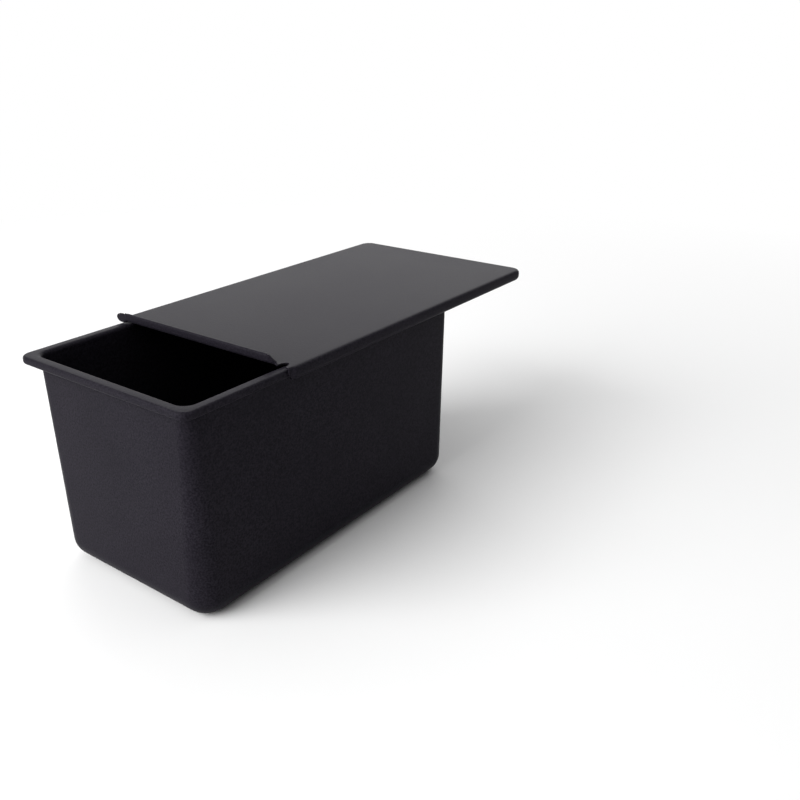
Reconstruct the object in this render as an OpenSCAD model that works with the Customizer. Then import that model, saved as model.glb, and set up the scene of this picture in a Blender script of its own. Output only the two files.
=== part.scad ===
// Loaf pan with a sliding lid.
// A deep drawn steel box with a rolled rim that is stiffened by a wire, and a flat lid whose two rolled
// rails slide along that rim. X runs along the loaf, the lid opens towards +X, and the origin is the
// middle of the base on the surface that the pan stands on. All sizes are in millimetres.

/* [Box] */
// Outside length of the box, measured over the walls
box_l = 198; // [150:1:320]
// Outside width of the box, measured over the walls
box_w = 108; // [80:1:180]
// Height of the box, from the surface to the top of the rim
box_h = 112; // [60:1:160]
// Thickness of the sheet that the box is drawn from
box_sheet = 0.8; // [0.6:0.1:1.2]
// Radius of the edge round the base, which is also the corner radius down there
base_r = 12.3; // [8:0.1:18]
// Radius of the upright corners at the rim
top_r = 6.5; // [4:0.1:10]

/* [Rim] */
// How far the rim stands out from the wall
rim_out = 5.6; // [4.8:0.1:9]
// Radius of the rim's corners, seen from above
rim_corner_r = 6; // [5:0.1:12]
// Diameter of the wire inside the rolled rim
wire_d = 2.2; // [1.6:0.1:2.8]
// Room between the wire and the sheet that is rolled round it
wire_gap = 0.1; // [0.05:0.05:0.3]

/* [Vents] */
// Number of vent dimples in the base
vent_count = 3; // [2:1:5]
// Distance from each end of the box to the middle of the nearest vent dimple
vent_margin = 41; // [30:1:60]
// Diameter of a vent dimple
vent_d = 14; // [10:0.5:20]
// How deep a vent dimple is pressed into the box
vent_depth = 2.6; // [1.5:0.1:4]
// Diameter of the hole in a vent dimple
vent_hole_d = 4; // [2:0.5:6]

/* [Lid] */
// Thickness of the lid's sheet
lid_sheet = 0.8; // [0.6:0.1:1.2]
// How far the lid stands open
lid_open = 63.7; // [0:0.1:140]
// Gap between the top of the rim and the lid's panel
lid_gap = 0.4; // [0.3:0.1:1]
// Gap between the far end of the rim and the lid's end flange when the lid is shut
end_gap = 0.4; // [0.3:0.1:2]
// How far the lid's near end stands out past the rim when the lid is shut
near_overhang = 3.6; // [0:0.1:6]
// Gap between the side of the rim and the rail round it
rail_gap = 2.5; // [2.2:0.1:4]
// Room that a rail leaves under the rim, on top of the lid's gap over it
rail_clear = 1; // [0.8:0.1:3]
// Radius of the lid's far corners, seen from above
lid_corner_r = 7; // [5:0.5:12]

/* [Lip] */
// Height of the turned-up lip above the lid's panel
lip_h = 4.8; // [3:0.1:9]
// Outside radius of the bend between the panel and the lip
lip_bend_r = 2; // [1.5:0.1:2.4]
// Distance from the -Y side of the lid to the full height of the lip
lip_inset = 14; // [11:0.1:30]
// Width of the slope at the -Y end of the lip
lip_slope = 4.5; // [3:0.5:6]
// Distance from the +Y side of the lid to the end of the lip's tab
tab_inset = 0.7; // [0.5:0.1:4]
// Radius of the tab's corners
tab_r = 2.1; // [0.5:0.1:2.1]
// How far the mouth of a rail is set back from the front of the lip
rail_setback = 2; // [0:0.5:6]
// Width of the relief slot between the lip and a rail
slot_w = 2.2; // [1:0.1:3]
// Length of the relief slot
slot_l = 2.6; // [1:0.1:6]
// How far the mouth of a rail flares out
flare = 0.7; // [0.2:0.1:1.2]
// Length of the flared mouth
flare_l = 5; // [2:0.5:10]

/* [Hidden] */

coat = [0.20, 0.19, 0.21];
bare_steel = [0.62, 0.63, 0.65];

// Facets of the hulls' corners, and of the small formed bends
hull_fn = 48;
bend_steps = 6;
overlap = 0.2;

// Rolled rim: a square roll with rounded corners round the wire
roll_half = wire_d / 2 + wire_gap + box_sheet;
roll_bend_r = roll_half * 0.7;
roll_mid = rim_out - roll_half;
roll_l = box_l + 2 * roll_mid;
roll_w = box_w + 2 * roll_mid;
roll_z = box_h - roll_half;
roll_corner_r = rim_corner_r - roll_half;

// The lid's own heights and edges
rim_l = box_l + 2 * rim_out;
rim_w = box_w + 2 * rim_out;
panel_z = box_h + lid_gap;
panel_top = panel_z + lid_sheet;
lid_half_w = rim_w / 2 + rail_gap + lid_sheet;
lid_l = near_overhang + rim_l + end_gap + lid_sheet;
near_x = lid_open - rim_l / 2 - near_overhang;
far_x = near_x + lid_l;

// A rail is rolled round the rim, and the panel runs a little way into it at the angle join_angle
rail_r = lid_sheet + roll_half + (lid_gap + rail_clear) / 2;
join_angle = 120;
mouth_angle = -112;
rail_mid_r = rail_r - lid_sheet / 2;
rail_y = lid_half_w - rail_r;
rail_z = panel_z + lid_sheet / 2 - rail_mid_r * sin(join_angle);
rail_join_y = rail_y + rail_mid_r * cos(join_angle) + overlap / 2;
rail_bottom = rail_z - rail_r;

// Lip: where it ends across the lid, and the edge of the slot where its tab starts
lip_low_y = lip_inset - lip_slope - lid_half_w;
lip_high_y = rail_join_y - slot_w - overlap;
tab_y = lid_half_w - tab_inset;

// Vent dimples: the distance between two of them, and the radius of a bowl
vent_pitch = (box_l - 2 * vent_margin) / (vent_count - 1);
bowl_r = (pow(vent_d / 2, 2) + pow(vent_depth, 2)) / (2 * vent_depth);

// Points of an arc round c, from angle a to angle b
function arc(c, r, a, b, steps = bend_steps) =
    [for (i = [0 : steps]) let (t = a + (b - a) * i / steps) c + r * [cos(t), sin(t)]];

// Outline of a rounded rectangle centred on the origin
function rounded(l, w, r) = concat(
    arc([l / 2 - r, w / 2 - r], r, 0, 90),
    arc([r - l / 2, w / 2 - r], r, 90, 180),
    arc([r - l / 2, r - w / 2], r, 180, 270),
    arc([l / 2 - r, r - w / 2], r, 270, 360));

// Deep box with a rounded base, inset all round by the given amount
module tub(inset, top) {
    foot_r = base_r - inset;
    foot = [for (i = [0 : 8]) foot_r * [sin(i * 90 / 8), 1 - cos(i * 90 / 8)]];
    hull() {
        for (sx = [-1, 1]) {
            for (sy = [-1, 1]) {
                translate([sx * (box_l / 2 - base_r), sy * (box_w / 2 - base_r), inset])
                    rotate_extrude($fn = hull_fn) polygon(concat(foot, [[0, foot_r]]));
                translate([sx * (box_l / 2 - top_r), sy * (box_w / 2 - top_r), top - 1])
                    cylinder(r = top_r - inset, h = 1, $fn = hull_fn);
            }
        }
    }
}

// Section of the roll round its own middle: top, outer face, underside and the turned-up cut edge
module roll_section() {
    bend = roll_half - roll_bend_r;
    inner_r = roll_bend_r - box_sheet;
    polygon(concat(
        [[-bend, roll_half]],
        arc([bend, bend], roll_bend_r, 90, 0),
        arc([bend, -bend], roll_bend_r, 0, -90),
        arc([-bend, -bend], roll_bend_r, -90, -180),
        arc([-bend, -bend], inner_r, -180, -90),
        arc([bend, -bend], inner_r, -90, 0),
        arc([bend, bend], inner_r, 0, 90),
        [[-bend, roll_half - box_sheet]]));
}

// Sweeps a section round the rim, with the section's +X side facing out
module sweep_rim(z) {
    straight_l = roll_l - 2 * roll_corner_r;
    straight_w = roll_w - 2 * roll_corner_r;
    for (side = [-1, 1]) {
        translate([0, side * roll_w / 2, z]) rotate([0, 0, side * 90])
            rotate([90, 0, 0]) linear_extrude(straight_l, center = true) children();
        translate([side * roll_l / 2, 0, z]) rotate([0, 0, 90 - side * 90])
            rotate([90, 0, 0]) linear_extrude(straight_w, center = true) children();
    }
    for (quarter = [0 : 3]) {
        sx = (quarter == 0 || quarter == 3) ? 1 : -1;
        sy = quarter < 2 ? 1 : -1;
        translate([sx * straight_l / 2, sy * straight_w / 2, z]) rotate([0, 0, quarter * 90])
            rotate_extrude(angle = 90, $fn = 64) translate([roll_corner_r, 0]) children();
    }
}

// Flat flange between the wall and the roll
module rim_flange() {
    translate([0, 0, box_h - box_sheet]) linear_extrude(box_sheet) difference() {
        polygon(rounded(roll_l, roll_w, roll_corner_r));
        polygon(rounded(box_l - box_sheet, box_w - box_sheet, top_r - box_sheet / 2));
    }
}

// Bowl of a vent dimple, pressed up into the box, with its hole
module vent_bowl() {
    rim_angle = asin(vent_d / 2 / bowl_r);
    hole_angle = asin(vent_hole_d / 2 / bowl_r);
    rotate_extrude($fn = 64) polygon(concat(
        arc([0, vent_depth - bowl_r], bowl_r, 90 - rim_angle, 90 - hole_angle),
        arc([0, vent_depth - bowl_r + box_sheet], bowl_r, 90 - hole_angle, 90 - rim_angle)));
}

// The box: walls, base with vents, flange and rolled rim, all one sheet
module pan_shell() {
    first_x = vent_margin - box_l / 2;
    color(coat) union() {
        difference() {
            union() {
                difference() {
                    tub(0, box_h);
                    tub(box_sheet, box_h + 1);
                }
                rim_flange();
                sweep_rim(roll_z) roll_section();
            }
            for (i = [0 : vent_count - 1])
                translate([first_x + i * vent_pitch, 0, -1])
                    cylinder(d = vent_d - 2 * overlap, h = 2 + box_sheet, $fn = 64);
        }
        for (i = [0 : vent_count - 1]) translate([first_x + i * vent_pitch, 0, 0]) vent_bowl();
    }
}

// Steel wire inside the rolled rim
module rim_wire() {
    color(bare_steel) sweep_rim(roll_z) circle(d = wire_d, $fn = 32);
}

// Rail on the +Y side: a rolled channel, open towards the wall, with a flared mouth at its near end
module rail() {
    mouth_x = near_x + rail_setback;
    end_x = far_x - lid_corner_r;
    inner_r = rail_r - lid_sheet;
    translate([end_x, rail_y, rail_z]) rotate([90, 0, 90]) rotate([0, 0, mouth_angle])
        rotate_extrude(angle = join_angle - mouth_angle, $fn = 64) polygon([
            [inner_r, 0],
            [rail_r, 0],
            [rail_r, mouth_x + flare_l - end_x],
            [rail_r + flare, mouth_x - end_x],
            [inner_r + flare, mouth_x - end_x],
            [inner_r, mouth_x + flare_l - end_x]]);
}

// Flat panel, with its far corners rounded and its near edge set back to where the lip bends up
module panel() {
    difference() {
        translate([0, 0, panel_z]) linear_extrude(lid_sheet) polygon(concat(
            [[near_x + rail_setback, -rail_join_y], [far_x - lid_corner_r, -rail_join_y],
             [far_x - lid_corner_r, -lid_half_w]],
            arc([far_x - lid_corner_r, lid_corner_r - lid_half_w], lid_corner_r, -90, 0),
            arc([far_x - lid_corner_r, lid_half_w - lid_corner_r], lid_corner_r, 0, 90),
            [[far_x - lid_corner_r, rail_join_y], [near_x + rail_setback, rail_join_y]]));
        for (side = [-1, 1])
            translate([near_x + rail_setback, side * (rail_join_y - slot_w / 2 - overlap), panel_z])
                cube([2 * slot_l, slot_w, 4 * lid_sheet], center = true);
    }
}

// Flange turned down across the far end and round both far corners
module end_flange() {
    inner_r = lid_corner_r - lid_sheet;
    translate([0, 0, rail_bottom]) linear_extrude(panel_top - rail_bottom) polygon(concat(
        arc([far_x - lid_corner_r, lid_corner_r - lid_half_w], lid_corner_r, -90, 0),
        arc([far_x - lid_corner_r, lid_half_w - lid_corner_r], lid_corner_r, 0, 90),
        arc([far_x - lid_corner_r, lid_half_w - lid_corner_r], inner_r, 90, 0),
        arc([far_x - lid_corner_r, lid_corner_r - lid_half_w], inner_r, 0, -90)));
}

// Section of the lip, drawn with X running back from the front edge and Y up from the panel's underside
module lip_section() {
    back = max(rail_setback, lip_bend_r) + overlap;
    polygon(concat(
        [[back, lid_sheet], [back, 0]],
        arc([lip_bend_r, lip_bend_r], lip_bend_r, 270, 180),
        [[0, lid_sheet + lip_h], [lid_sheet, lid_sheet + lip_h]],
        arc([lip_bend_r, lip_bend_r], lip_bend_r - lid_sheet, 180, 270)));
}

// Lip turned up along the near end, with a slope at its -Y end and a tab past the rail at its +Y end
module lip() {
    translate([near_x, 0, panel_z]) {
        difference() {
            translate([0, lip_high_y, 0]) rotate([90, 0, 0]) linear_extrude(lip_high_y - lip_low_y) lip_section();
            translate([-1, 0, 0]) rotate([90, 0, 90]) linear_extrude(lip_bend_r + 1) polygon([
                [lip_low_y - 1, lid_sheet + 1],
                [lip_low_y, lid_sheet],
                [lip_low_y + lip_slope, lid_sheet + lip_h],
                [lip_low_y + lip_slope, lid_sheet + lip_h + 1],
                [lip_low_y - 1, lid_sheet + lip_h + 1]]);
        }
        rotate([90, 0, 90]) linear_extrude(lid_sheet) polygon(concat(
            [[lip_high_y - 1, lid_sheet + lip_h], [lip_high_y - 1, lip_bend_r]],
            [[lip_high_y, lip_bend_r], [lip_high_y + lip_bend_r, lid_sheet]],
            arc([tab_y - tab_r, lid_sheet + tab_r], tab_r, 270, 360),
            arc([tab_y - tab_r, lid_sheet + lip_h - tab_r], tab_r, 0, 90)));
    }
}

// The lid: panel, two rails, end flange and lip, all one sheet
module lid() {
    color(coat) union() {
        panel();
        end_flange();
        lip();
        rail();
        mirror([0, 1, 0]) rail();
    }
}

pan_shell();
rim_wire();
lid();
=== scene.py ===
"""Looks of the lidded loaf pan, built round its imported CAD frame.

The pan's and the lid's shapes are worked out in millimetres, and MM turns them into metres.
The stage, the lights and the reliefs in the coating are in metres."""
import math

import bmesh
import bpy
from mathutils import Matrix, Vector


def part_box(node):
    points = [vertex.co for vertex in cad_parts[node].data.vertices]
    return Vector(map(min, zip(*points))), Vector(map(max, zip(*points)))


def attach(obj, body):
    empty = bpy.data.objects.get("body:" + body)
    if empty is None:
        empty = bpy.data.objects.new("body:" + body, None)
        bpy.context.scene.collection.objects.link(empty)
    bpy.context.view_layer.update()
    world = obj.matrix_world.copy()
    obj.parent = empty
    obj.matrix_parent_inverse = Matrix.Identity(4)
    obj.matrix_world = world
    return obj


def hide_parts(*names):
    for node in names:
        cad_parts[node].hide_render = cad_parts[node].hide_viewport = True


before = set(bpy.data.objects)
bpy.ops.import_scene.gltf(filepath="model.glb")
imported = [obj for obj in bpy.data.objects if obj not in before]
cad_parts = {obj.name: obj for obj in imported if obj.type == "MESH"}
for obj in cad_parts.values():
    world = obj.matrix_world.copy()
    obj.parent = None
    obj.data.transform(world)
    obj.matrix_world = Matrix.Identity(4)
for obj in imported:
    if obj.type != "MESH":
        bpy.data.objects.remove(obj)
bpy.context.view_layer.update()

MM = 0.001

# Coating: its colour, its roughness where it is darkest and lightest, and how much it mirrors
COAT_DARK = (0.0080, 0.0072, 0.0104, 1)
COAT_LIGHT = (0.0200, 0.0176, 0.0238, 1)
COAT_ROUGHNESS = (0.38, 0.50)
COAT_SPECULAR = 0.025

# Noises in the coating, as (scale, detail, roughness), the spans of their values that count,
# and how far the cloudiness alone can darken the colour
CLOUD_NOISE = (22, 4, 0.5)
SPECKLE_NOISE = (1100, 2, 0.6)
PEEL_NOISE = (1200, 2, 0.5)
SWAY_NOISE = (9, 1, 0.5)
NOISE_SPAN = (0.3, 0.7)
SPECKLE_SPAN = (0.35, 0.65)
CLOUD_LOW = 0.6

# Reliefs in the coating, as (depth, strength): orange peel, and the sheet's slight unevenness
PEEL_RELIEF = (0.00010, 0.8)
SWAY_RELIEF = (0.0012, 0.2)

# Wire: its colour, and the noise and the range of its roughness
WIRE_COLOUR = (0.42, 0.42, 0.44, 1)
WIRE_NOISE = (300, 3)
WIRE_ROUGHNESS = (0.35, 0.55)

# Camera. Its place is how far to its right and ahead of it the pan stands, its own height, and
# its turn. Lengths here are in millimetres, angles in radians, focus and shift in sensor widths.
CAMERA_PLACE = (-73.36, 449.56, 262.45, 0.932)
CAMERA_PITCH = 0.372
CAMERA_ROLL = -0.005
CAMERA_FOCUS = 1.1168
CAMERA_SHIFT = -0.044
SENSOR_WIDTH = 36
CLIP_START = 10

# Stage: the floor lies just under the base, and fades to the backdrop between two distances
FLOOR_HALF = 30.0
FLOOR_Z = -0.0001
FLOOR_FADE = (0.2, 0.9)
FLOOR_COLOUR = (0.90, 0.90, 0.90, 1)
WORLD_LIGHT = 0.12

# Lights: name, place, point aimed at, size and power
SOFTBOXES = (
    ("key_softbox", (-1.25, 0.45, 0.75), (0, 0, 0.05), (1.3, 1.3), 36.0),
    ("rear_softbox", (1.28, 0.95, 0.85), (0, 0, 0.1), (2.2, 1.0), 14.0),
    ("ceiling_softbox", (0, 0, 3), (0, 0, 0), (6, 6), 72.0),
)

# Meshes: the angle from which an edge stays sharp, and the distance within which points merge
SHARP_ANGLE = 38.0
WELD = 0.002
TINY = 0.001

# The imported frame's own measures, and the top of the visual lip, a little under the CAD's
_, PAN_HI = (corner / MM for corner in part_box("pan_shell"))
LID_LO, LID_HI = (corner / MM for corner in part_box("lid"))
HEIGHT = PAN_HI.z
NEAR_X = LID_LO.x
FAR_X = LID_HI.x
LIP_MARGIN = 0.4
LIP_TOP = LID_HI.z - LIP_MARGIN

# Sheet and rim
SHEET = 0.8
RIM_OUT = 5.6
ROLL_HALF = 2.0
ROLL_BEND = 1.4
RIM_BEND = 2.0
RIM_CORNER_R = 6.0
RIM_CORNER_EASE = 3.0
WALL_L = PAN_HI.x - RIM_OUT
WALL_W = PAN_HI.y - RIM_OUT
TOP_R = 6.5
FOOT_R = 13.0
BASE_EDGE_R = 11.6
BASE_FLAT = 2.0
SMALLEST_R = 0.2

# Steps of the pan's plan (long side, short side, corner) and of its section. The rim's bend and
# its roll have fewer steps on the inside than on the outside.
SIDE_STEPS = (36, 20)
CORNER_STEPS = 20
BASE_STEPS = 14
WALL_STEPS = 16
BEND_STEPS = (5, 8)
ROLL_STEPS = (4, 6)

# Vents in the base: dimples with a hole, whose edges are eased and rounded
VENT_PITCH = 58.0
VENT_COUNT = 3
VENT_R = 7.0
VENT_DEPTH = 2.6
VENT_EDGE = 1.8
VENT_MARGIN = 1.5
VENT_STEPS = 16
VENT_TURNS = 64
VENT_HOLE_R = 2.0
HOLE_ROUND = 0.25
HOLE_BEVEL = (0.05, 0.08)

# Lid: places on it are at the middle of its sheet
RAIL_GAP = 2.5
LID_HALF_W = PAN_HI.y + RAIL_GAP + SHEET
LID_CORNER_R = 7.0
RAIL_OUTER_R = 3.5
RAIL_R = RAIL_OUTER_R - SHEET / 2
RAIL_Z = 110.1
PANEL_Z = RAIL_Z + RAIL_R
RAIL_TIP = -112.0
RAIL_SQUARENESS = 0.5
CORNER_Y = LID_HALF_W - LID_CORNER_R
CORNER_X = FAR_X - LID_CORNER_R
RAIL_IN = LID_CORNER_R - SHEET / 2 - RAIL_R
STRIP_IN = 0.5
FLANGE_BEND = 2.0
FLANGE_TIP_Z = 106.7

# Steps of the lid's edge strip: across it, along a rail, round a corner and along the far end
RAIL_STEPS = 36
FLAT_STEPS = 6
RAIL_STATIONS = 40
TURN_STATIONS = 16
END_STATIONS = 24

# Mouths of the rails: how far they are set back, more so at +Y, how they are pinched in, and how
# they are swept back further down, from one angle on the rail and over a span of degrees
MOUTH_X = 0.7
FAR_MOUTH_X = 6.0
FAR_MOUTH_Y = 57.5
FAR_MOUTH_EASE = 3.5
MOUTH_PINCH = 1.9
MOUTH_L = 3.8
MOUTH_SWEEP = 3.2
SWEEP_FROM = 20
SWEEP_SPAN = 110

# Near end of the lid: turned-up lip, relief notches and the tab
NEAR_ZONE = 11.0
LIP_BEND_R = 1.6
LIP_PLANE_X = SHEET / 2
HEM_R = 0.6
HEM_TAIL = 0.6
HEM_EASE = 4.0
LIP_END_Y = -48.9
LIP_SLOPE = 4.5
LIP_SHORTEST = 0.2
HEM_SHORTEST = 0.25
FOLD_RATE = 4
NOTCH_Y = 56.2
NOTCH_HALF_W = 2.4
NOTCH_X = 5.4
TAB_START_Y = 54.3
TAB_END_Y = 62.3
TAB_BOTTOM = -0.7
TAB_DROOP = 0.4
TAB_ROUND_L = 3.6
TAB_SLIT = 0.6
TAB_FLATTEN = 3.5

# Steps of the near end: rows back to front, columns from the middle out, and the tab's
FLAT_ROWS = 12
BEND_ROWS = 6
LEG_ROWS = 4
HEM_ROWS = 8
EDGE_SHARE = 0.12
FINE_Y = 47
NEAR_COLUMNS = (16, 20, 8)
TAB_STEPS = 8
TAB_ROUND_STEPS = 10
TAB_ROUND_ANGLE = 84


# --- Small geometry helpers ---------------------------------------------------------------------

def lerp(a, b, t):
    return a + (b - a) * t


def smooth(t):
    t = min(1.0, max(0.0, t))
    return t * t * (3 - 2 * t)


def spaced(a, b, count):
    """count + 1 values from a to b."""
    return [lerp(a, b, i / count) for i in range(count + 1)]


def arc(centre, radius, start, end, steps):
    """Points of an arc, with its angles in degrees."""
    angles = [math.radians(a) for a in spaced(start, end, steps)]
    return [(centre[0] + radius * math.cos(a), centre[1] + radius * math.sin(a)) for a in angles]


def rounded_ring(half_l, half_w, radius):
    """Plan of a rounded rectangle, with the same number of points whatever its size."""
    radius = max(radius, SMALLEST_R)
    cx, cy = half_l - radius, half_w - radius
    corners = [(cx, cy, 0), (-cx, cy, 90), (-cx, -cy, 180), (cx, -cy, 270)]
    ring = []
    for i, (x, y, a) in enumerate(corners):
        ring += arc((x, y), radius, a, a + 90, CORNER_STEPS)
        nx, ny, na = corners[(i + 1) % 4]
        start = ring[-1]
        end = arc((nx, ny), radius, na, na, 1)[0]
        for t in spaced(0, 1, SIDE_STEPS[i % 2])[1:-1]:
            ring.append((lerp(start[0], end[0], t), lerp(start[1], end[1], t)))
    return ring


def add_rows(bm, rows, closed=False):
    """Adds a grid of points, in millimetres, to a bmesh, and returns its vertices row by row."""
    grid = [[bm.verts.new(Vector(p) * MM) for p in row] for row in rows]
    for upper, lower in zip(grid, grid[1:]):
        count = len(upper)
        for c in range(count if closed else count - 1):
            d = (c + 1) % count
            bm.faces.new((upper[c], upper[d], lower[d], lower[c]))
    return grid


def fill(bm, loops):
    """Fills the flat region between closed loops of vertices."""
    edges = []
    for loop in loops:
        for a, b in zip(loop, loop[1:] + loop[:1]):
            edge = bm.edges.get((a, b)) or bm.edges.new((a, b))
            edges.append(edge)
    bmesh.ops.triangle_fill(bm, use_beauty=True, use_dissolve=False, edges=edges)


def mark_edges(bm):
    """Shades a bmesh smooth, apart from its sharp edges."""
    limit = math.radians(SHARP_ANGLE)
    for face in bm.faces:
        face.smooth = True
    for edge in bm.edges:
        if len(edge.link_faces) == 2:
            edge.smooth = edge.calc_face_angle() < limit


def finish_mesh(bm, name):
    """Welds, orients and shades a bmesh, and makes an object of it."""
    bmesh.ops.remove_doubles(bm, verts=bm.verts, dist=WELD * MM)
    bmesh.ops.recalc_face_normals(bm, faces=bm.faces)
    mark_edges(bm)
    mesh = bpy.data.meshes.new(name)
    bm.to_mesh(mesh)
    bm.free()
    obj = bpy.data.objects.new(name, mesh)
    bpy.context.scene.collection.objects.link(obj)
    return obj


def apply_modifiers(obj):
    depsgraph = bpy.context.evaluated_depsgraph_get()
    mesh = bpy.data.meshes.new_from_object(obj.evaluated_get(depsgraph))
    obj.modifiers.clear()
    obj.data = mesh


def reshade(obj):
    """Marks the sharp edges again, once the sheet has its thickness."""
    bm = bmesh.new()
    bm.from_mesh(obj.data)
    mark_edges(bm)
    bm.to_mesh(obj.data)
    bm.free()
    return obj


# --- Pan ----------------------------------------------------------------------------------------

def pan_profile():
    """Section of the sheet from the underside of the base, over the rim, to the inside of the base.

    Each point is (how far out from the wall's outer face, height)."""
    roll_x = RIM_OUT - ROLL_HALF
    roll_z = HEIGHT - ROLL_HALF
    bend = ROLL_HALF - ROLL_BEND
    inner = ROLL_BEND - SHEET
    bend_x = RIM_BEND - SHEET
    base = (-BASE_EDGE_R, BASE_EDGE_R)
    rim_bend = (bend_x, HEIGHT - RIM_BEND)
    few_bend, many_bend = BEND_STEPS
    few_roll, many_roll = ROLL_STEPS
    points = [(-BASE_EDGE_R - BASE_FLAT, 0)]
    points += arc(base, BASE_EDGE_R, -90, 0, BASE_STEPS)
    points += [(0, z) for z in spaced(BASE_EDGE_R, HEIGHT - RIM_BEND, WALL_STEPS)[1:-1]]
    points += arc(rim_bend, bend_x, 180, 90, few_bend)
    points += arc((roll_x + bend, roll_z + bend), inner, 90, 0, few_roll)
    points += arc((roll_x + bend, roll_z - bend), inner, 0, -90, few_roll)
    points += arc((roll_x - bend, roll_z - bend), inner, -90, -180, few_roll)
    points += arc((roll_x - bend, roll_z - bend), ROLL_BEND, -180, -90, many_roll)
    points += arc((roll_x + bend, roll_z - bend), ROLL_BEND, -90, 0, many_roll)
    points += arc((roll_x + bend, roll_z + bend), ROLL_BEND, 0, 90, many_roll)
    points += arc(rim_bend, RIM_BEND, 90, 180, many_bend)
    points += [(-SHEET, z) for z in spaced(HEIGHT - RIM_BEND, BASE_EDGE_R, WALL_STEPS)[1:-1]]
    points += arc(base, BASE_EDGE_R - SHEET, 0, -90, BASE_STEPS)
    points += [(-BASE_EDGE_R - BASE_FLAT, SHEET)]
    return points


def corner_radius(out, z):
    """Corner radius of the plan at a point of the pan's section."""
    wall_r = lerp(FOOT_R, TOP_R, max(0.0, (z - BASE_EDGE_R) / (HEIGHT - BASE_EDGE_R)))
    rim_r = RIM_CORNER_R - RIM_OUT
    return out + lerp(wall_r, rim_r, smooth(out / RIM_CORNER_EASE))


def bowl_height(radius, bowl_r):
    """Height of the dimple's underside: a bowl whose edge is eased into the flat base."""
    bowl = math.sqrt(bowl_r ** 2 - min(radius, VENT_R) ** 2) - (bowl_r - VENT_DEPTH)
    if radius <= VENT_R - VENT_EDGE:
        return bowl
    start = VENT_R - VENT_EDGE
    start_z = math.sqrt(bowl_r ** 2 - start ** 2) - (bowl_r - VENT_DEPTH)
    slope = -start / math.sqrt(bowl_r ** 2 - start ** 2)
    span = 2 * VENT_EDGE
    t = (radius - start) / span
    return (2 * t ** 3 - 3 * t ** 2 + 1) * start_z + (t ** 3 - 2 * t ** 2 + t) * span * slope


def vent_rings():
    """Section of a vent dimple, as (radius, height), from its flat margin to its hole and back.

    It runs along the underside first, then through the hole and along the inside."""
    bowl_r = (VENT_R ** 2 + VENT_DEPTH ** 2) / (2 * VENT_DEPTH)
    radii = spaced(VENT_R + VENT_EDGE, VENT_HOLE_R + HOLE_ROUND, VENT_STEPS)
    under = [(radius, bowl_height(radius, bowl_r)) for radius in radii]
    over = [(radius, z + SHEET) for radius, z in under]
    hole_z = bowl_height(VENT_HOLE_R, bowl_r)
    bevel_r, bevel_z = HOLE_BEVEL
    hole = [(VENT_HOLE_R + bevel_r, hole_z + bevel_z),
            (VENT_HOLE_R, hole_z + HOLE_ROUND),
            (VENT_HOLE_R, hole_z + SHEET - HOLE_ROUND),
            (VENT_HOLE_R + bevel_r, hole_z + SHEET - bevel_z)]
    outer_r = VENT_R + VENT_EDGE + VENT_MARGIN
    return [(outer_r, 0)] + under + hole + over[::-1] + [(outer_r, SHEET)]


def build_pan():
    bm = bmesh.new()
    rows = []
    for out, z in pan_profile():
        ring = rounded_ring(WALL_L + out, WALL_W + out, corner_radius(out, z))
        rows.append([(x, y, z) for x, y in ring])
    grid = add_rows(bm, rows, closed=True)
    underside, inside = [grid[0]], [grid[-1]]
    angles = [2 * math.pi * k / VENT_TURNS for k in range(VENT_TURNS)]
    for i in range(VENT_COUNT):
        x = (i - (VENT_COUNT - 1) / 2) * VENT_PITCH
        vent = [[(x + r * math.cos(a), r * math.sin(a), z) for a in angles]
                for r, z in vent_rings()]
        vent_grid = add_rows(bm, vent, closed=True)
        underside.append(vent_grid[0])
        inside.append(vent_grid[-1])
    fill(bm, underside)
    fill(bm, inside)
    return finish_mesh(bm, "pan_body")


# --- Lid ----------------------------------------------------------------------------------------

def rail_section():
    """Middle of the sheet at a rail, from the panel to the tip under the rim.

    Each point is (reach from the strip's corner, height)."""
    points = [(x, PANEL_Z) for x in spaced(STRIP_IN, RAIL_IN, FLAT_STEPS)[:-1]]
    for angle in spaced(90, RAIL_TIP, RAIL_STEPS):
        c, s = math.cos(math.radians(angle)), math.sin(math.radians(angle))
        if angle > 0:
            c, s = abs(c) ** RAIL_SQUARENESS, s ** RAIL_SQUARENESS
        points.append((RAIL_IN + RAIL_R * c, RAIL_Z + RAIL_R * s))
    return points


def flange_section():
    """Middle of the sheet at the end flange, with as many points as a rail has."""
    reach = LID_CORNER_R - SHEET / 2
    bend_x = reach - FLANGE_BEND
    bend_steps = RAIL_STEPS // 3
    flat = [(x, PANEL_Z) for x in spaced(STRIP_IN, bend_x, FLAT_STEPS)[:-1]]
    bend = arc((bend_x, PANEL_Z - FLANGE_BEND), FLANGE_BEND, 90, 0, bend_steps)
    heights = spaced(PANEL_Z - FLANGE_BEND, FLANGE_TIP_Z, RAIL_STEPS - bend_steps)[1:]
    leg = [(reach, z) for z in heights]
    return flat + bend + leg


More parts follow.
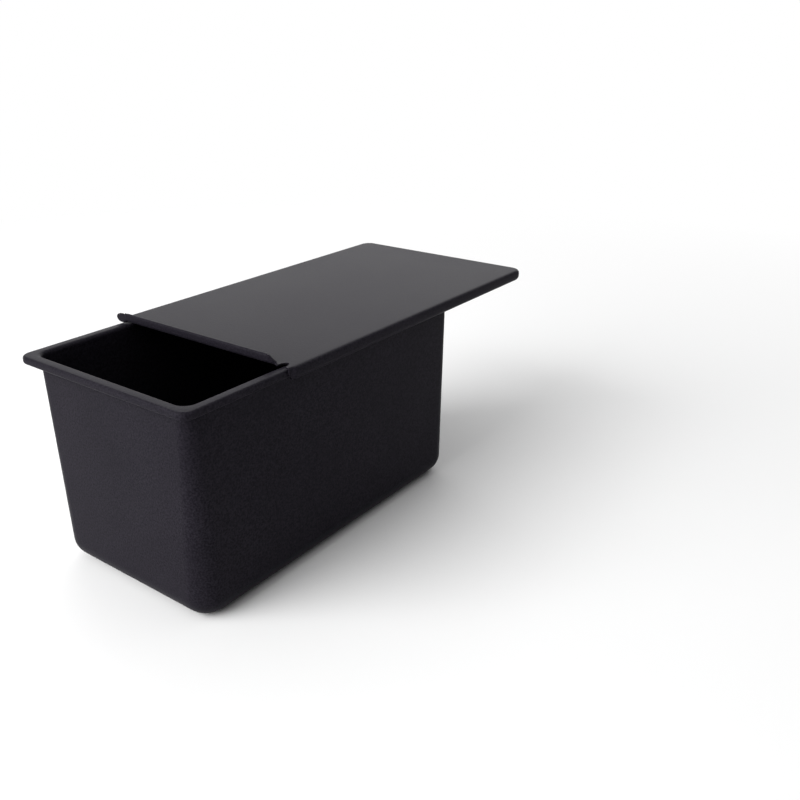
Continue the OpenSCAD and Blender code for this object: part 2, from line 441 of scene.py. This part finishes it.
def strip_stations():
    """Stations of the strip that runs along one rail, round the far end and back.

    Each station is (corner, direction in degrees, share of the end flange)."""
    stations = []
    back = NEAR_X + NEAR_ZONE
    for x in spaced(back, CORNER_X, RAIL_STATIONS):
        stations.append(((x, -CORNER_Y), -90, 0.0))
    for k in range(1, TURN_STATIONS + 1):
        t = k / TURN_STATIONS
        stations.append(((CORNER_X, -CORNER_Y), -90 + 90 * k / TURN_STATIONS, smooth(t)))
    for y in spaced(-CORNER_Y, CORNER_Y, END_STATIONS)[1:]:
        stations.append(((CORNER_X, y), 0, 1.0))
    for k in range(1, TURN_STATIONS + 1):
        t = k / TURN_STATIONS
        stations.append(((CORNER_X, CORNER_Y), 90 * k / TURN_STATIONS, 1 - smooth(t)))
    for x in spaced(CORNER_X, back, RAIL_STATIONS)[1:]:
        stations.append(((x, CORNER_Y), 90, 0.0))
    return stations


def lip_path(share, hem):
    """Middle of the sheet from the panel up the lip and over its hem, as (x, rise).

    share is how far the lip is turned up, and hem how far its top edge is curled back."""
    bend_x = LIP_PLANE_X + LIP_BEND_R
    leg = LIP_TOP - SHEET / 2 - PANEL_Z - HEM_R - LIP_BEND_R
    short = lerp(LIP_SHORTEST, 1, share)
    curl = lerp(HEM_SHORTEST, 1, hem)
    bend = min(1.0, FOLD_RATE * share)
    steps = [(math.pi / 2 * LIP_BEND_R / BEND_ROWS * short, 90 / BEND_ROWS * bend)] * BEND_ROWS
    steps += [(leg / LEG_ROWS * short, 0)] * LEG_ROWS
    steps += [(math.pi * HEM_R / HEM_ROWS * curl * short, 180 / HEM_ROWS * hem)] * HEM_ROWS
    steps += [(HEM_TAIL * curl * short, 0)]
    points = [(x, 0.0) for x in spaced(NEAR_ZONE, bend_x, FLAT_ROWS)[1:]]
    x, z, heading = bend_x, 0.0, 180.0
    for length, turn in steps:
        middle = math.radians(heading - turn / 2)
        x += length * math.cos(middle)
        z += length * math.sin(middle)
        heading -= turn
        points.append((x, z))
    top = (LIP_TOP - SHEET / 2 * hem - PANEL_Z) * share
    scale = top / max(TINY, max(z for x, z in points))
    return [(x, z * scale) for x, z in points]


def front_edge(y, angle):
    """Where the near edge of the panel and of a rail lies, measured back from the lip's face."""
    if angle is None:
        notch = max(0.0, 1 - ((abs(y) - NOTCH_Y) / NOTCH_HALF_W) ** 2) ** 0.5
        edge = MOUTH_X + (NOTCH_X - MOUTH_X) * notch
    else:
        edge = MOUTH_X + MOUTH_SWEEP * smooth((SWEEP_FROM - angle) / SWEEP_SPAN)
    if y > 0:
        beside = angle is None or angle > 0
        set_back = smooth((y - FAR_MOUTH_Y) / FAR_MOUTH_EASE) if beside else 1.0
        edge = lerp(edge, max(edge, FAR_MOUTH_X), set_back)
    return edge


def near_columns():
    """Columns across the near end: (y, z, angle on the rail or None)."""
    rail = []
    for i, (reach, z) in enumerate(rail_section()):
        step = i - FLAT_STEPS
        angle = None if step < 0 else lerp(90, RAIL_TIP, step / RAIL_STEPS)
        rail.append((CORNER_Y + reach, z, angle))
    stops = (0, FINE_Y, TAB_START_Y, rail[0][0])
    inner = []
    for start, end, count in zip(stops, stops[1:], NEAR_COLUMNS):
        inner += spaced(start, end, count)[:-1]
    half = [(y, PANEL_Z, None) for y in inner] + rail
    return [(-y, z, a) for y, z, a in half[:0:-1]] + half


def near_point(y, z, angle, x):
    """A point near the mouth of a rail, whose side is pinched in there."""
    if angle is None:
        return NEAR_X + x, y, z
    opening = smooth((front_edge(y, angle) + MOUTH_L - x) / MOUTH_L)
    side = 1 if y > 0 else -1
    pinch = MOUTH_PINCH * opening * max(0.0, math.cos(math.radians(angle)))
    return NEAR_X + x, y - side * pinch, z


def lip_grid(columns):
    """Points of the -Y rail's mouth and of the panel with the lip, up to where the tab starts.

    The rows that make the lip and its hem are packed into the panel's edge where there is none."""
    row_count = FLAT_ROWS + BEND_ROWS + LEG_ROWS + HEM_ROWS + 1
    grid = [[] for _ in range(row_count + 1)]
    for y, z, angle in columns:
        share = 0.0
        if angle is None:
            share = min(1.0, max(0.0, (y - LIP_END_Y + LIP_SLOPE) / LIP_SLOPE))
        path = lip_path(share, smooth((y - LIP_END_Y) / HEM_EASE))
        edge = front_edge(y, angle)
        flat = spaced(NEAR_ZONE, lerp(edge, NEAR_ZONE, EDGE_SHARE), FLAT_ROWS)
        flat += spaced(flat[-1], edge, row_count - FLAT_ROWS)[1:]
        weight = min(1.0, share * FOLD_RATE)
        grid[0].append(near_point(y, z, angle, NEAR_ZONE))
        for row, flat_x, (path_x, rise) in zip(grid[1:], flat[1:], path):
            px, py, pz = near_point(y, z, angle, lerp(flat_x, path_x, weight))
            row.append((px, py, pz + rise * weight))
    return grid


def plain_grid(columns):
    """Points of the near end from the start of the tab, past the notch, to the +Y rail."""
    grid = [[] for _ in range(FLAT_ROWS + 1)]
    for y, z, angle in columns:
        slit = smooth((y - TAB_START_Y) / TAB_SLIT)
        edge = lerp(LIP_PLANE_X + LIP_BEND_R, front_edge(y, angle), slit)
        for row, x in zip(grid, spaced(NEAR_ZONE, edge, FLAT_ROWS)):
            row.append(near_point(y, z, angle, x))
    return grid


def tab_grid():
    """Points of the tab, which starts with the lip's section and flattens to a rounded plate."""
    start = lip_path(1.0, 1.0)[FLAT_ROWS - 1:]
    top = LIP_TOP - SHEET / 2 - PANEL_Z
    end_r = (top + SHEET / 2 - TAB_DROOP - TAB_BOTTOM) / 2
    round_y = TAB_END_Y - TAB_ROUND_L
    stations = spaced(TAB_START_Y, round_y, TAB_STEPS)
    for a in spaced(0, TAB_ROUND_ANGLE, TAB_ROUND_STEPS)[1:]:
        stations.append(round_y + TAB_ROUND_L * math.sin(math.radians(a)))
    grid = [[] for _ in start]
    for y in stations:
        open_flat = smooth((y - TAB_START_Y) / TAB_FLATTEN)
        over = max(0.0, y - round_y) / TAB_ROUND_L
        pull = end_r * (1 - math.sqrt(1 - over ** 2))
        droop = TAB_DROOP * smooth((y - TAB_START_Y) / (round_y - TAB_START_Y))
        low = TAB_BOTTOM + pull
        high = top + SHEET / 2 * open_flat - droop - pull
        for i, (x, rise) in enumerate(start):
            z = lerp(low, high, i / (len(start) - 1))
            grid[i].append((NEAR_X + lerp(x, LIP_PLANE_X, open_flat), y,
                            PANEL_Z + lerp(rise, z, open_flat)))
    return grid


def near_grids():
    """Point grids of the near end: the side with the lip, the plain +Y side, and the tab."""
    columns = near_columns()
    split = next(i for i, c in enumerate(columns) if abs(c[0] - TAB_START_Y) < TINY)
    return lip_grid(columns[:split + 1]), plain_grid(columns[split:]), tab_grid()


def build_lid():
    bm = bmesh.new()
    rail, flange = rail_section(), flange_section()
    strip = []
    for (cx, cy), direction, share in strip_stations():
        dx, dy = math.cos(math.radians(direction)), math.sin(math.radians(direction))
        row = []
        for (r0, z0), (r1, z1) in zip(rail, flange):
            reach, z = lerp(r0, r1, share), lerp(z0, z1, share)
            row.append((cx + dx * reach, cy + dy * reach, z))
        strip.append(row)
    strip_grid = add_rows(bm, strip)
    lip_side, plain_side, _ = (add_rows(bm, rows) for rows in near_grids())
    # The flat panel fills the loop between the near end's back row and the strip's inner edge
    back_row = lip_side[0][len(rail) - 1:]
    back_row += plain_side[0][1:len(plain_side[0]) - len(rail) + 1]
    inner = [row[0] for row in strip_grid]
    bmesh.ops.remove_doubles(bm, verts=bm.verts, dist=WELD * MM)
    bm.verts.ensure_lookup_table()
    loop = [v for v in back_row if v.is_valid]
    loop += [v for v in reversed(inner) if v.is_valid and v not in loop]
    fill(bm, [loop])
    lid = finish_mesh(bm, "lid_sheet")
    thick = lid.modifiers.new("thickness", "SOLIDIFY")
    thick.thickness = SHEET * MM
    thick.offset = 0
    thick.use_even_offset = True
    apply_modifiers(lid)
    return reshade(lid)


# --- Materials ----------------------------------------------------------------------------------

def new_material(name):
    material = bpy.data.materials.new(name)
    material.use_nodes = True
    tree = material.node_tree
    tree.nodes.clear()
    output = tree.nodes.new("ShaderNodeOutputMaterial")
    shader = tree.nodes.new("ShaderNodeBsdfPrincipled")
    tree.links.new(shader.outputs["BSDF"], output.inputs["Surface"])
    return material, tree, shader


def noise(tree, scale, detail, roughness=0.5):
    coords = tree.nodes.new("ShaderNodeTexCoord")
    node = tree.nodes.new("ShaderNodeTexNoise")
    node.inputs["Scale"].default_value = scale
    node.inputs["Detail"].default_value = detail
    node.inputs["Roughness"].default_value = roughness
    tree.links.new(coords.outputs["Object"], node.inputs["Vector"])
    return node.outputs["Fac"]


def ranged(tree, value, span, target):
    """Maps a value from one range to another, and holds it inside."""
    node = tree.nodes.new("ShaderNodeMapRange")
    for key, number in zip(("From Min", "From Max", "To Min", "To Max"), (*span, *target)):
        node.inputs[key].default_value = number
    tree.links.new(value, node.inputs["Value"])
    return node.outputs["Result"]


def bump(tree, height, distance, strength, previous=None):
    node = tree.nodes.new("ShaderNodeBump")
    node.inputs["Distance"].default_value = distance
    node.inputs["Strength"].default_value = strength
    tree.links.new(height, node.inputs["Height"])
    if previous:
        tree.links.new(previous, node.inputs["Normal"])
    return node.outputs["Normal"]


def coating_material():
    """Satin black non-stick coating.

    It has a fine orange peel, and a faint speckle and cloudiness in its colour and gloss."""
    material, tree, shader = new_material("nonstick_coating")
    cloud = noise(tree, *CLOUD_NOISE)
    speckle = noise(tree, *SPECKLE_NOISE)
    peel = noise(tree, *PEEL_NOISE)
    sway = noise(tree, *SWAY_NOISE)
    colour = tree.nodes.new("ShaderNodeMix")
    colour.data_type = "RGBA"
    colour.inputs["A"].default_value = COAT_DARK
    colour.inputs["B"].default_value = COAT_LIGHT
    shade = tree.nodes.new("ShaderNodeMath")
    shade.operation = "MULTIPLY"
    tree.links.new(ranged(tree, cloud, NOISE_SPAN, (CLOUD_LOW, 1)), shade.inputs[0])
    tree.links.new(ranged(tree, speckle, SPECKLE_SPAN, (0, 1)), shade.inputs[1])
    tree.links.new(shade.outputs["Value"], colour.inputs["Factor"])
    tree.links.new(colour.outputs["Result"], shader.inputs["Base Color"])
    roughness = ranged(tree, shade.outputs["Value"], (0, 1), COAT_ROUGHNESS)
    tree.links.new(roughness, shader.inputs["Roughness"])
    shader.inputs["Specular IOR Level"].default_value = COAT_SPECULAR
    normal = bump(tree, sway, *SWAY_RELIEF)
    normal = bump(tree, peel, *PEEL_RELIEF, normal)
    tree.links.new(normal, shader.inputs["Normal"])
    return material


def wire_material():
    """Drawn steel wire, dull, with a faintly uneven gloss."""
    material, tree, shader = new_material("wire_steel")
    shader.inputs["Metallic"].default_value = 1.0
    shader.inputs["Base Color"].default_value = WIRE_COLOUR
    roughness = ranged(tree, noise(tree, *WIRE_NOISE), NOISE_SPAN, WIRE_ROUGHNESS)
    tree.links.new(roughness, shader.inputs["Roughness"])
    return material


def seen_rays(tree):
    """1 for the camera and for reflections and refractions, 0 for diffuse light."""
    path = tree.nodes.new("ShaderNodeLightPath")
    total = path.outputs["Is Camera Ray"]
    for ray in ("Is Glossy Ray", "Is Transmission Ray"):
        add = tree.nodes.new("ShaderNodeMath")
        add.operation = "ADD"
        add.use_clamp = True
        tree.links.new(total, add.inputs[0])
        tree.links.new(path.outputs[ray], add.inputs[1])
        total = add.outputs["Value"]
    return total


def floor_material():
    """Pale matt floor that keeps the soft shadow near the pan.

    Further out it fades to the white backdrop."""
    material, tree, shader = new_material("pale_floor")
    shader.inputs["Base Color"].default_value = FLOOR_COLOUR
    shader.inputs["Roughness"].default_value = 1.0
    shader.inputs["Specular IOR Level"].default_value = 0.0
    glow = tree.nodes.new("ShaderNodeEmission")
    coords = tree.nodes.new("ShaderNodeTexCoord")
    reach = tree.nodes.new("ShaderNodeVectorMath")
    reach.operation = "LENGTH"
    tree.links.new(coords.outputs["Object"], reach.inputs[0])
    fade = ranged(tree, reach.outputs["Value"], FLOOR_FADE, (0, 1))
    amount = tree.nodes.new("ShaderNodeMath")
    amount.operation = "MULTIPLY"
    tree.links.new(fade, amount.inputs[0])
    tree.links.new(seen_rays(tree), amount.inputs[1])
    mix = tree.nodes.new("ShaderNodeMixShader")
    tree.links.new(amount.outputs["Value"], mix.inputs["Fac"])
    tree.links.new(shader.outputs["BSDF"], mix.inputs[1])
    tree.links.new(glow.outputs["Emission"], mix.inputs[2])
    output = next(node for node in tree.nodes if node.type == "OUTPUT_MATERIAL")
    tree.links.new(mix.outputs["Shader"], output.inputs["Surface"])
    return material


def studio_world():
    """White to the camera and in reflections, and a dimmer even light on the object."""
    world = bpy.data.worlds.new("studio")
    bpy.context.scene.world = world
    world.use_nodes = True
    tree = world.node_tree
    background = tree.nodes["Background"]
    background.inputs["Color"].default_value = (1, 1, 1, 1)
    strength = ranged(tree, seen_rays(tree), (0, 1), (WORLD_LIGHT, 1))
    tree.links.new(strength, background.inputs["Strength"])


# --- Stage --------------------------------------------------------------------------------------

def build_camera():
    """The camera stands in front of the near end, to the left, and looks a little down."""
    to_right, ahead, height, turn = CAMERA_PLACE
    c, s = math.cos(turn), math.sin(turn)
    place = Vector((-(c * to_right + s * ahead), s * to_right - c * ahead, height)) * MM
    level, down = math.cos(CAMERA_PITCH), -math.sin(CAMERA_PITCH)
    forward = Vector((s * level, c * level, down))
    right = Vector((c, -s, 0))
    basis = Matrix((right, right.cross(forward), -forward)).transposed()
    basis = basis @ Matrix.Rotation(CAMERA_ROLL, 3, "Z")
    camera = bpy.data.cameras.new("camera")
    camera.sensor_width = SENSOR_WIDTH
    camera.lens = CAMERA_FOCUS * camera.sensor_width
    camera.shift_y = CAMERA_SHIFT
    camera.clip_start = CLIP_START * MM
    obj = bpy.data.objects.new("camera", camera)
    bpy.context.scene.collection.objects.link(obj)
    obj.matrix_world = Matrix.Translation(place) @ basis.to_4x4()
    bpy.context.scene.camera = obj


def area_light(name, place, aim, size, power):
    light = bpy.data.lights.new(name, "AREA")
    light.shape = "RECTANGLE"
    light.size, light.size_y = size
    light.energy = power
    obj = bpy.data.objects.new(name, light)
    bpy.context.scene.collection.objects.link(obj)
    obj.location = place
    obj.rotation_euler = (Vector(aim) - Vector(place)).to_track_quat("-Z", "Y").to_euler()


def build_stage():
    bm = bmesh.new()
    bmesh.ops.create_grid(bm, x_segments=2, y_segments=2, size=FLOOR_HALF)
    floor = finish_mesh(bm, "floor")
    floor.location.z = FLOOR_Z
    floor.data.materials.append(floor_material())
    studio_world()
    for softbox in SOFTBOXES:
        area_light(*softbox)


# --- The scene ----------------------------------------------------------------------------------

build_camera()
build_stage()

coating = coating_material()
pan = build_pan()
pan.data.materials.append(coating)
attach(pan, "pan")
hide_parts("pan_shell")

lid = build_lid()
lid.data.materials.append(coating)
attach(lid, "lid")
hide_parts("lid")

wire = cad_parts["rim_wire"]
wire.data.materials.clear()
wire.data.materials.append(wire_material())

view = bpy.context.scene.view_settings
view.view_transform = "Standard"
